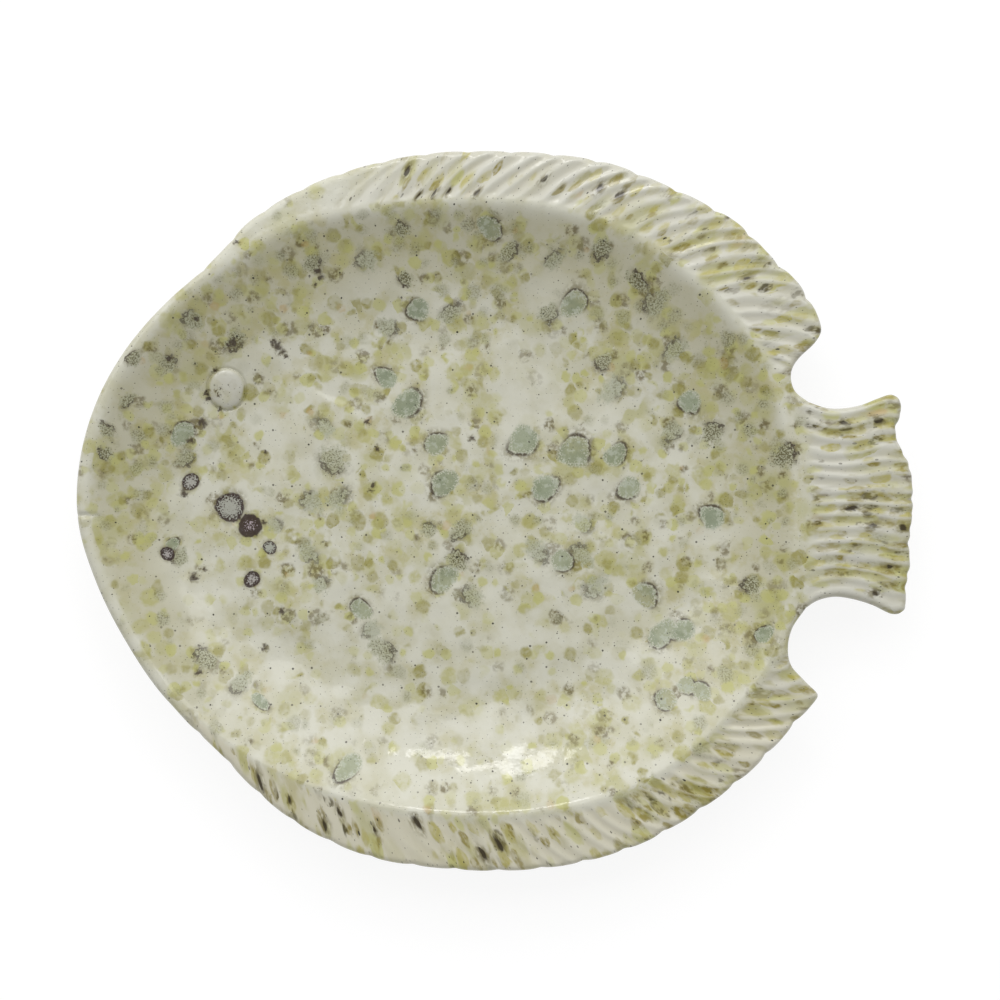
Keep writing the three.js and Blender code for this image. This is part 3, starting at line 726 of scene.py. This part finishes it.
class Tree:
    """Short calls that add nodes to a material."""

    def __init__(self, name):
        self.material = bpy.data.materials.new(name)
        self.material.use_nodes = True
        tree = self.material.node_tree
        self.nodes, self.links = tree.nodes, tree.links
        self.nodes.clear()

    def node(self, kind, *values, **settings):
        """A new node, with values or links for its first inputs."""
        made = self.nodes.new("ShaderNode" + kind)
        for key, value in settings.items():
            setattr(made, key, value)
        for socket, value in zip(made.inputs, values):
            self.feed(socket, value)
        return made

    def feed(self, socket, value):
        if isinstance(value, bpy.types.NodeSocket):
            self.links.new(value, socket)
        elif value is not None:
            socket.default_value = value

    def math(self, operation, a, b):
        return self.node("Math", a, b, operation=operation).outputs[0]

    def times(self, *values):
        return reduce(lambda a, b: self.math("MULTIPLY", a, b), values)

    def plus(self, a, b):
        return self.math("ADD", a, b)

    def vector(self, operation, a, b=None, scale=None):
        made = self.node("VectorMath", a, b, None, scale, operation=operation)
        return made.outputs["Value" if operation == "DISTANCE" else "Vector"]

    def ramp(self, value, low, high, start=0.0, end=1.0, curve="LINEAR"):
        """A clamped ramp from start at low to end at high."""
        made = self.node("MapRange", value, low, high, start, end, interpolation_type=curve)
        return made.outputs[0]

    def step(self, value, low, high):
        """A smooth step from 0 at low to 1 at high."""
        return self.ramp(value, low, high, curve="SMOOTHSTEP")

    def mix(self, share, a, b):
        """A mix of two tints, the seventh and eighth inputs of the node."""
        tints = [linear(*tint) if isinstance(tint, tuple) else tint for tint in (a, b)]
        return self.node("Mix", share, *[None] * 5, *tints, data_type="RGBA").outputs[2]

    def noise(self, coords, size, detail=2.0, rough=0.5, kind="2D", output="Fac"):
        """Noise whose features are about this size in millimetres."""
        made = self.node("TexNoise", coords, None, 1 / size, detail, rough, noise_dimensions=kind)
        return made.outputs[output]

    def attribute(self, name, output="Fac"):
        return self.node("Attribute", attribute_name=name).outputs[output]

    def wander(self, coords, size, amount):
        """Coordinates pushed about by noise."""
        push = self.vector("SUBTRACT", self.noise(coords, size, 1.5, output="Color"), (0.5, 0.5, 0.5))
        return self.vector("ADD", coords, self.vector("SCALE", push, scale=amount))

    def spots(self, coords, kind, share):
        """Round spots of one kind: a mask, and a random strength for each spot."""
        moved = self.vector("ADD", coords, (kind.shift, 1.7 * kind.shift, 0.0))
        cells = self.node("TexVoronoi", moved, None, 1 / kind.spacing, voronoi_dimensions="2D")
        chance = self.node("SeparateColor", cells.outputs["Color"]).outputs
        radius = self.ramp(chance[0], 0, 1, kind.least, kind.most)
        inside = self.math("SUBTRACT", radius, self.times(cells.outputs["Distance"], kind.spacing))
        there = self.ramp(self.math("SUBTRACT", share, chance[1]), -0.06, 0.10)
        strength = self.ramp(chance[2], 0, 1, kind.faintest, kind.strength)
        return self.times(self.step(inside, 0.0, kind.soft), there), strength

    def nearest(self, coords, places):
        """The least distance to some places, each measured in its own radius."""
        gaps = [self.math("DIVIDE", self.vector("DISTANCE", coords, (x, y, 0)), r) for x, y, r in places]
        return reduce(lambda a, b: self.math("MINIMUM", a, b), gaps)

    def finish(self, colour, roughness, height, bump_strength, bump_distance):
        """The material, with a colour, a roughness and a fine relief."""
        bump = self.node("Bump", bump_strength, bump_distance, None, height)
        shader = self.node("BsdfPrincipled", colour)
        self.feed(shader.inputs["Roughness"], roughness)
        self.feed(shader.inputs["Normal"], bump.outputs[0])
        self.node("OutputMaterial", shader.outputs[0])
        return self.material


# Colours of the glaze, as they look on a screen
# The olive wall tint is painted shade on the basin walls that face away from the light
PALE, CREAM, WALL_SHADE_OLIVE = (204, 203, 188), (194, 192, 171), (176, 171, 138)
# The light fin tint is painted light on the lower anal fin, which faces away from the lamps
FIN_PALE, PAINTED_FIN_LIGHT, GROOVE_OLIVE = (199, 198, 188), (217, 213, 192), (160, 150, 109)
STAIN = (177, 171, 123)
PALE_LACE, GREY_LACE, DARK_LACE, LACE_DOT = (155, 160, 137), (148, 148, 117), (90, 84, 54), (184, 185, 161)
CELADON, OLIVE_HEART, DEEP_CELADON, VEIL = (147, 157, 134), (158, 157, 118), (126, 136, 112), (172, 178, 160)
BLOOM_DOT, RIM_BROWN, SMUDGE = (194, 194, 177), (66, 55, 43), (106, 97, 55)
RING_HEART, RING_DARK, RING_LILAC = (160, 162, 150), (48, 31, 30), (167, 154, 160)
STREAK_DARK, SPECK_DARK = (50, 40, 14), (50, 46, 37)
CLAY_PALE, CLAY_TAN, CLAY_GROG, CLAY_SAND = (196, 180, 152), (178, 158, 128), (120, 98, 74), (214, 204, 184)

# Least and most roughness of each finish, and the strength and depth in metres of its fine relief
GLAZE_ROUGHNESS, GLAZE_BUMP = (0.09, 0.15), (0.3, 0.0004)
CLAY_ROUGHNESS, CLAY_BUMP = (0.78, 0.92), (0.5, 0.0003)

# Kinds of spots: distance between centres, least and most radius, share of the places that are filled,
# width of the soft rim, shift of the pattern, least and most strength, raggedness and colour
Spots = namedtuple("Spots", "spacing least most share soft shift faintest strength ragged tint")
OLIVE_SPOTS = [
    Spots(21, 5, 9.5, 0.75, 5.5, 3.1, 0.25, 0.75, 0, (174, 172, 121)),
    Spots(11, 3, 5.2, 0.75, 2, 17.3, 0.25, 0.85, 0.3, (171, 168, 103)),
    Spots(8, 2, 3.8, 0.7, 1.4, 41.9, 0.25, 0.85, 0, (181, 180, 112)),
    Spots(9.5, 2, 4.2, 0.66, 1.5, 59.3, 0.25, 0.9, 0.3, (146, 140, 71)),
    Spots(10.5, 2.2, 4.6, 0.5, 1.8, 77.7, 0.25, 0.85, 0.9, (98, 86, 44)),
    Spots(24, 1.5, 2.8, 0.4, 1.2, 91.1, 0.2, 0.6, 0.3, (182, 152, 95)),
]
CRYSTAL_SPOTS = Spots(11, 2.4, 4.6, 0.5, 2.6, 9.4, 0.25, 0.9, 0, None)
FIN_SPOTS = [
    Spots(6.2, 1.6, 3, 0.85, 1.1, 65, 0.5, 0.92, 0.4, (170, 162, 84)),
    Spots(5.8, 1.3, 2.7, 0.74, 0.9, 33, 0.5, 0.97, 0.6, (134, 122, 46)),
    Spots(7.2, 1.1, 2.4, 0.55, 0.8, 51, 0.5, 0.98, 0.9, (70, 62, 24)),
]
SPECKS = [
    Spots(2.2, 0.08, 0.28, 0.8, 0.14, 5.5, 0.4, 0.95, 0, SPECK_DARK),
    Spots(8, 0.24, 0.58, 0.66, 0.16, 88, 0.45, 0.98, 0, SPECK_DARK),
]

# Marks in the glaze that stand out: x, y, radius, and a share from pale or blue to dark or olive
BLOOMS = [
    (-38, 46, 6.5, 0.2), (-26, 30, 5.2, 0.3), (12, 30, 6.9, 0.2), (35, 25, 7.3, 0.7), (-23, 13, 6, 0.4),
    (21, 11, 6, 0.1), (94, -2, 5.6, 0), (58, 9, 5.2, 0.3), (66, -36, 5.6, 0.9), (82, -53, 5.2, 0.2),
    (73, -53, 6, 0.4), (34, 89, 6, 0.6), (-33, 87, 5.2, 0.1), (-2, 123, 5.2, 0.7), (-48, 59, 4.7, 0.1),
    (85, 47, 5.2, 0.1), (-137, 34, 5.2, 0.2), (-23, -29, 6, 0.5), (29, -22, 5.2, 0.3),
    (-59, -44, 4.7, 0.4), (-64, -111, 5.6, 0.3), (53, 24, 5.2, 0.4), (116, -52, 3.9, 0.1),
    (-102, -83, 3.4, 0.1), (-139.6, -13.3, 3, 0.3), (74, -81.5, 5, 0.9), (83.5, -76.5, 4, 0.6),
    (90, -77, 4.2, 0.5),
]
CRYSTALS = [
    (-78, 106, 3.9, 0.8), (-130, 81, 4.3, 0.7), (-114, 74, 4.3, 0.9), (-140, 65, 3.4, 0.8),
    (-55, 108, 4.7, 0.6), (-47, 81, 4.3, 0.6), (-75, 37, 3.9, 0.4), (-70, 23, 6, 0.7), (-68, 6, 4.7, 0.4),
    (-79, 3, 4.7, 0.5), (-134, 23, 3.9, 0.7), (-40, 121, 3.4, 0.9), (-39, 100, 3.4, 1), (5, 112, 3.9, 0.8),
    (26, 109, 3.9, 0.6), (45, 114, 4.3, 0.9), (61, 99, 3.9, 1), (69, 91, 5.2, 0.7), (24, 87, 4.3, 0.7),
    (-19, 86, 4.3, 0.7), (48, 66, 3.9, 0.8), (50, 53, 5.2, 0.4), (78, 69, 4.7, 0.6), (76, 34, 4.3, 0.6),
    (93, 35, 4.7, 0.9), (111, -32, 4.3, 0.9), (37, -6, 4.3, 0.3), (38, -20, 4.7, 0.5), (44, -32, 5.2, 0.3),
    (125, 23, 5.2, 1), (-137, -19.2, 4, 0.7), (-81, -19, 4.3, 0.4), (-76, -32, 3.9, 0.5),
    (-54, -52, 4.3, 0.4), (-49, -60, 5.2, 0.7), (-126, -65, 4.7, 0.8), (-16, -9, 4.3, 0.7),
    (-17, -22, 4.7, 0.9), (-9, -38, 4.7, 0.6), (19, -17, 4.7, 0.5), (-30, -8, 3.4, 0.7),
    (-110, -75, 4.3, 0.6), (-97.4, -5.2, 3.3, 0.2), (-154.2, 64.8, 3.2, 0.9), (-158, 47.7, 2.8, 0.8),
    (-168.2, 35.6, 3, 0.8), (-166.6, 25.4, 3, 0.9),
]
RINGS = [
    (-115.5, 2, 6.2, 0.1), (-106.4, -30.4, 3.5, 0.45), (-133.3, 12.3, 3.7, 0.25), (-97.9, -15.8, 2.9, 0),
    (-142.1, -18.1, 3, 0.5), (-107.5, -6.9, 4.9, 1),
]
STROKES = [
    (-96.6, 73.5, 0.9), (-94.8, 71.8, 1.5), (-93.1, 69.2, 1.2), (-91.4, 67.1, 0.8), (-53.5, 11.5, 0.9),
    (-54.3, 9.2, 0.8), (-10.7, 31.6, 1), (-125.7, 51.4, 0.9), (-125, 49, 0.9), (-121.3, 61.3, 0.9),
    (-120, 44.4, 0.8), (-127.3, 38.6, 1.6), (-55.6, 38.5, 1.2), (-51.2, 27, 0.9), (-93.2, -43.4, 1.1),
    (-131, -28.8, 1.3), (-127, -25.2, 1), (-101, -5, 0.9), (-100.3, 25.2, 0.8), (-132.6, 30.3, 1.3),
    (-140.9, 34.4, 0.8), (-76.8, 103.7, 1.1), (-75.9, 101, 1), (-77.6, 98, 0.8), (-113.3, 73.1, 1.5),
    (-115.4, 72.4, 0.9), (-129.4, 83, 0.8), (-140.8, 65.9, 1.1), (-135.6, 7.4, 1.3), (-128, -69.3, 1.2),
    (-110.8, 115.3, 0.9), (-100.4, -59.8, 1.1), (-121.4, 52.6, 0.55), (-119.3, 52.9, 0.55),
    (-120.4, 50.4, 0.6),
]
STREAKS = [
    (-101.3, -115.7, 1.3), (-73.3, -134.2, 1.2), (-66.9, -129.5, 1), (-33.8, -133.8, 1.3),
    (0.9, -142.4, 1.2), (153.3, 0.9, 1), (160.2, -0.9, 0.8), (161.7, -6.7, 1), (175.7, -7.3, 1),
    (164.9, 38.7, 1), (149.5, 37.8, 0.9), (168.4, -24.1, 0.8), (163.2, -35.3, 0.9), (45, 139, 1),
    (20.4, 141.9, 0.9), (-5.4, -147.5, 1.1), (-52, -137, 0.8), (-88, -124.5, 0.8), (-37.8, 146.5, 1),
    (-33, 135.4, 0.7), (-26.5, 135.9, 0.8), (-20.7, 136.4, 0.7), (-8.6, 135.8, 0.8), (54, 136.5, 0.8),
    (108.6, 100.6, 0.8),
]

# Kinds of marks, and how far their outlines are bent
MARKS = [("bloom", BLOOMS, 1.3), ("crystal", CRYSTALS, 1.3), ("ring", RINGS, 0.6)]
BEND_WAVE, BEND_START, MARK_TURN = (0.31, 0.27), (0.4, 1.9), 2.4

# Where the glaze holds fewer spots or more, with fewer on the head lip as a painted highlight, and how far
# down the anal fin reaches the painted light that brightens its side facing away from the lamps
SPARSE = [((-25, -80), (30, 85)), ((-135, -42), (18, 50))]
SPARSE_LOSS, FRONT_LOSS, LIP_HIGHLIGHT_LOSS, REAR_GAIN = 0.5, 0.55, 0.6, 0.45
FIN_LIGHT_REACH = (60, 95)


def mark_fields(points, marks, bend):
    """For the mark nearest each point: the distance in its radius, its share, and the side of it."""
    bent = points + bend * np.sin(points[:, ::-1] * BEND_WAVE + BEND_START)
    places = np.array(marks)
    away = bent[:, None] - places[:, :2]
    gaps = np.hypot(away[..., 0], away[..., 1]) / places[:, 2]
    near = gaps.argmin(1)
    row = np.arange(len(points))
    arm = away[row, near] / (gaps[row, near] * places[near, 2] + TINY)[:, None]
    side = arm[:, 0] * np.cos(MARK_TURN * near) + arm[:, 1] * np.sin(MARK_TURN * near)
    return gaps[row, near], places[near, 3], side


def spot_share(points):
    """How many spots the glaze holds: fewer in two stretches of the basin and on the front of the dorsal
    fin, fewer on the head lip as a painted highlight there, and more on the rear of the tray."""
    x, y = points.T
    out = beyond_ridge(points)
    share, on_fin = np.ones(len(points)), fade(out, 0, 4)
    for (middle_x, middle_y), reach in SPARSE:
        share *= 1 - SPARSE_LOSS * (1 - fade(np.hypot(x - middle_x, y - middle_y), *reach))
    share *= 1 - FRONT_LOSS * on_fin * fade(y, 40, 80) * (1 - fade(x, 35, 85))
    # Painted highlight: fewer spots keep the upturned head lip paler
    share *= 1 - LIP_HIGHLIGHT_LOSS * fade(out, -2.5, 1) * (1 - fade(x, -140, -115))
    rear = np.maximum(fade(x, 128, 140), fade(x, 20, 70) * fade(-y, 60, 90))
    return share * (1 + REAR_GAIN * on_fin * rear)


class Glaze(Tree):
    """The reactive glaze: a pale coat with layers of spots, crystals and blooms over it."""

    def __init__(self, streaks):
        super().__init__("speckled_glaze")
        self.streaks = streaks
        self.place = self.attribute("glaze", "Vector")
        # The wall share sets the painted wall shade, and also crowds the crystals and spots on the walls
        fields = ("groove", "ribbed", "wall", "upper", "spot_share")
        self.groove, self.ribbed, self.wall, self.upper, self.share = map(self.attribute, fields)
        self.drift = self.wander(self.wander(self.place, 5, 2.4), 1.4, 0.9)
        self.cloud = self.noise(self.place, 15, 3)
        self.clump = self.noise(self.place, 2.4, 2, 0.6)
        self.grain = self.ramp(self.noise(self.place, 0.75, 2, 0.65), 0.28, 0.72)
        bunch = self.plus(self.times(self.noise(self.place, 38), 0.5), self.times(self.cloud, 0.5))
        self.bunch = self.plus(bunch, self.times(self.wall, 0.06))
        self.density = self.times(self.ramp(self.bunch, 0.42, 0.57, 0.2, 1.4), self.share)
        # Less glaze colour stays on the crests of the rays
        crest = self.times(self.ribbed, self.math("SUBTRACT", 1, self.groove))
        self.hold = self.ramp(crest, 0.5, 0.95, 1, 0.2)

    def lay(self, tint, *shares):
        """Lays a tint over the colour so far, by the product of some shares."""
        self.colour = self.mix(self.times(*shares), self.colour, tint)

    def grainy(self, share):
        """Fine grains that cover about this share of the surface."""
        return self.step(self.plus(self.grain, share), 0.86, 1.14)

    def frayed(self, gap, amount):
        """A distance from some marks, made uneven so that their outlines fray."""
        return self.plus(gap, self.ramp(self.clump, 0.3, 0.7, -amount, amount))

    def smudge(self, gap, reach, tufts, *shares):
        """Lays brown tufts round some marks."""
        self.lay(SMUDGE, self.step(gap, *reach), self.ramp(self.clump, *tufts), *shares)

    def coat(self):
        """The pale ground, with painted shade on the basin walls, painted light on the anal fin, stains and
        olive spots.
        """
        self.colour = self.mix(self.ramp(self.cloud, 0.38, 0.62), PALE, CREAM)
        # Painted shade: a darker olive tint on the basin walls that face away from the light
        self.lay(WALL_SHADE_OLIVE, self.wall, 0.5)
        self.lay(FIN_PALE, self.ribbed, 0.7)
        # Painted light: a paler tint on the lower anal fin, which faces away from the lamps
        self.lay(PAINTED_FIN_LIGHT, self.attribute("painted_fin_light"), 0.7)
        self.lay(GROOVE_OLIVE, self.groove, self.ribbed, 0.18)
        stain = self.noise(self.drift, 12, 4, 0.6)
        self.lay(STAIN, self.step(stain, 0.47, 0.66), self.density, self.hold, 0.5)
        for kind in OLIVE_SPOTS:
            self.scatter(kind, self.density, self.hold)

    def scatter(self, kind, density, *shares):
        """Lays one kind of spots, each as strong as its own chance makes it."""
        mask, strength = self.spots(self.drift, kind, self.times(density, kind.share))
        ragged = self.ramp(self.clump, 0.38, 0.58, 1 - kind.ragged, 1)
        self.lay(kind.tint, mask, ragged, strength, *shares)

    def mark(self, name):
        """Distance in its radius, share and side of the nearest mark of one kind."""
        return [self.attribute(name + part) for part in ("", "_tone", "_side")]

    def crystals(self):
        """Grey-green patches of fine dark and pale crystals, some with a dark arc."""
        pale = self.step(self.grain, 0.5, 0.26)
        density = self.times(self.density, self.ramp(self.wall, 0, 1, 0.8, 1.5), CRYSTAL_SPOTS.share)
        mask = self.times(*self.spots(self.drift, CRYSTAL_SPOTS, density), self.hold)
        self.lay(GREY_LACE, mask, 0.6)
        self.lay(DARK_LACE, mask, self.grainy(0.36), self.ramp(self.wall, 0, 1, 0.35, 0.65))
        self.lay(LACE_DOT, mask, pale, 0.5)
        gap, tone, side = self.mark("crystal")
        gap = self.frayed(gap, 0.28)
        dark = self.ramp(tone, 0.2, 0.9, 0.6, 1)
        self.smudge(gap, (1.8, 0.9), (0.4, 0.6), self.step(side, -0.4, 0.8), 0.6)
        patch = self.mix(self.ramp(tone, 0.4, 0.8), PALE_LACE, GREY_LACE)
        self.lay(patch, self.step(gap, 1.3, 0.6), dark, 0.8)
        grains = self.grainy(self.times(self.step(gap, 1.4, 0.3), self.ramp(tone, 0.45, 1, 0.12, 0.58)))
        self.lay(DARK_LACE, grains, self.step(gap, 1.4, 1.15), dark, 0.8)
        self.lay(LACE_DOT, pale, self.step(gap, 1.15, 0.8), 0.6)
        arc = self.times(self.step(gap, 0.7, 0.88), self.step(gap, 1.16, 0.96), self.step(side, 0.1, 0.8))
        self.lay(RIM_BROWN, arc, self.ramp(tone, 0.3, 1, 0.4, 0.9))

    def blooms(self):
        """Celadon blooms, with crystals at the rim and a thin dark rim on one side."""
        gap, tone, side = self.mark("bloom")
        gap = self.frayed(gap, 0.06)
        self.smudge(gap, (1.7, 1), (0.38, 0.58), self.step(side, -0.6, 0.9), 0.7)
        heart = self.mix(tone, CELADON, OLIVE_HEART)
        heart = self.mix(self.times(self.ramp(self.cloud, 0.42, 0.6), 0.7), heart, DEEP_CELADON)
        veil = self.step(self.noise(self.place, 3.4, 3, 0.6), 0.5, 0.66)
        heart = self.mix(self.times(veil, 0.8), heart, VEIL)
        heart = self.mix(self.times(self.grainy(self.ramp(gap, 0.5, 1, 0, 0.6)), 0.85), heart, BLOOM_DOT)
        self.lay(heart, self.step(gap, 1.12, 0.84), 0.9)
        rim = self.times(self.step(gap, 0.88, 0.99), self.step(gap, 1.16, 1.03), self.step(side, -0.6, 0.7))
        self.lay(RIM_BROWN, rim, self.ramp(self.clump, 0.32, 0.52, 0.3, 0.85))

    def dark_marks(self):
        """A few purple-brown rings and strokes, grainy where they fade toward the middle."""
        gap, fill, side = self.mark("ring")
        gap = self.frayed(gap, 0.07)
        self.smudge(gap, (1.6, 0.95), (0.35, 0.6), 0.6)
        dark_share = self.plus(self.ramp(gap, 0.3, 1, 0, 0.75), self.times(fill, 0.55))
        heart = self.mix(fill, RING_HEART, RING_LILAC)
        heart = self.mix(self.grainy(dark_share), heart, RING_DARK)
        heart = self.mix(self.times(self.step(gap, 0.86, 1), self.ramp(side, -1, 0.4)), heart, RING_DARK)
        self.lay(heart, self.step(gap, 1.12, 0.96), 0.94)
        squiggle = self.wander(self.drift, 1.5, 2.4)
        gap = self.frayed(self.nearest(squiggle, STROKES), 0.4)
        self.smudge(gap, (2.6, 1.1), (0.38, 0.58), self.upper, 0.6)
        self.lay(RIM_BROWN, self.step(gap, 1.7, 0.5), self.upper, 0.9)

    def fin_spots(self):
        """Brown spots and dark streaks pooled in the grooves of the fins."""
        busy = self.times(self.ramp(self.bunch, 0.42, 0.54, 0.35, 1), self.share)
        for kind, least in zip(FIN_SPOTS, (0, 0.05, 0.2)):
            self.scatter(kind, busy, self.ribbed, self.ramp(self.groove, least, least + 0.3, 0.15, 1))
        gap = self.frayed(self.nearest(self.drift, self.streaks), 0.3)
        self.smudge(gap, (3.4, 1.2), (0.38, 0.56), self.upper, 0.75)
        pooled = self.ramp(self.groove, 0.1, 0.5, 0.5, 1)
        self.lay(STREAK_DARK, self.step(gap, 1.5, 0.7), pooled, self.upper, 0.95)

    def specks(self):
        fine = self.wander(self.place, 0.8, 0.25)
        for kind in SPECKS:
            crowd = self.ramp(self.cloud, 0.35, 0.6, 0.6 * kind.share, 1.2 * kind.share)
            self.lay(kind.tint, *self.spots(fine, kind, crowd))

    def made(self):
        self.coat()
        self.crystals()
        self.blooms()
        self.dark_marks()
        self.fin_spots()
        self.specks()
        roughness = self.ramp(self.clump, 0.3, 0.7, *GLAZE_ROUGHNESS)
        return self.finish(self.colour, roughness, self.noise(self.place, 4.5), *GLAZE_BUMP)


def clay_material():
    t = Tree("bare_clay")
    coords = t.vector("SCALE", t.node("TexCoord").outputs["Object"], scale=1 / MM)
    cloud = t.noise(coords, 14, 3, kind="3D")
    grain = t.noise(coords, 0.7, 3, 0.7, kind="3D")
    colour = t.mix(t.ramp(cloud, 0.3, 0.7), CLAY_PALE, CLAY_TAN)
    colour = t.mix(t.step(grain, 0.6, 0.72), colour, CLAY_GROG)
    colour = t.mix(t.step(grain, 0.36, 0.26), colour, CLAY_SAND)
    return t.finish(colour, t.ramp(cloud, 0.3, 0.7, *CLAY_ROUGHNESS), grain, *CLAY_BUMP)


skin = glazed_skin()
streaks = np.array(STREAKS)
streaks[:, :2] = survey(streaks[:, :2])[3]
skin.data.materials.append(Glaze(streaks.tolist()).made())
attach(skin, "root")
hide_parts("basin", "head_rim", "dorsal_fin", "anal_fin", "tail_fin", "eye", "gill_cover")

foot = foot_ring()
foot.data.materials.append(clay_material())
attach(foot, "root")
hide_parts("foot_ring")

# Floor, lights and camera
FLOOR_SIDE = 6.0
FLOOR_GREY, FLOOR_GLOW, FLOOR_SHADOW = 0.8, 0.87, 0.17
# Name, place, size and watts of each lamp
LAMPS = [("key", (-0.06, 0.86, 0.84), (0.34, 0.16), 1.2), ("panel", (-0.2, 1.75, 1.5), (4.2, 2.8), 58.5)]
WORLD_STRENGTH = 0.48
PHOTO_WIDTH, PHOTO_CENTRE = 430.1, (1.935, 4.73)
EDGE_LEVEL = 29.0
CAMERA_HEIGHT = 1.5


def studio_floor():
    """A pale floor that keeps the shadow."""
    half = FLOOR_SIDE / 2
    mesh = bpy.data.meshes.new("floor")
    mesh.from_pydata([(-half, -half, 0), (half, -half, 0), (half, half, 0), (-half, half, 0)], [], [range(4)])
    t = Tree("floor")
    pale, faint = (
        t.node("BsdfDiffuse", (grey, grey, grey, 1)).outputs[0]
        for grey in (FLOOR_GREY, FLOOR_SHADOW)
    )
    glow = t.node("Emission", None, FLOOR_GLOW).outputs[0]
    seen = t.node("AddShader", faint, glow).outputs[0]
    path = t.node("LightPath").outputs
    direct = t.math("MAXIMUM", path["Is Camera Ray"], path["Is Glossy Ray"])
    direct = t.math("MAXIMUM", direct, path["Is Transmission Ray"])
    choice = t.node("MixShader", direct, pale, seen).outputs[0]
    t.node("OutputMaterial", choice)
    mesh.materials.append(t.material)
    floor = placed("floor", mesh)


def lamp(name, place, size, watts):
    """A rectangular lamp aimed at the middle of the tray."""
    light = bpy.data.lights.new(name, "AREA")
    light.shape, light.energy = "RECTANGLE", watts
    light.size, light.size_y = size
    holder = placed(name, light)
    holder.location = place
    holder.rotation_euler = (-Vector(place)).to_track_quat("-Z", "Y").to_euler()


def world_light():
    world = bpy.data.worlds.new("studio")
    bpy.context.scene.world = world
    world.use_nodes = True
    inputs = world.node_tree.nodes["Background"].inputs
    inputs["Color"].default_value = (1, 1, 1, 1)
    inputs["Strength"].default_value = WORLD_STRENGTH


def camera():
    """Looks straight down, with the photograph's scale at the height of the free edge."""
    data = bpy.data.cameras.new("camera")
    data.lens = data.sensor_width * (CAMERA_HEIGHT - EDGE_LEVEL * MM) / (PHOTO_WIDTH * MM)
    holder = placed("camera", data)
    holder.location = (PHOTO_CENTRE[0] * MM, PHOTO_CENTRE[1] * MM, CAMERA_HEIGHT)
    bpy.context.scene.camera = holder


studio_floor()
world_light()
for look in LAMPS:
    lamp(*look)
camera()
bpy.context.scene.view_settings.view_transform = "Standard"
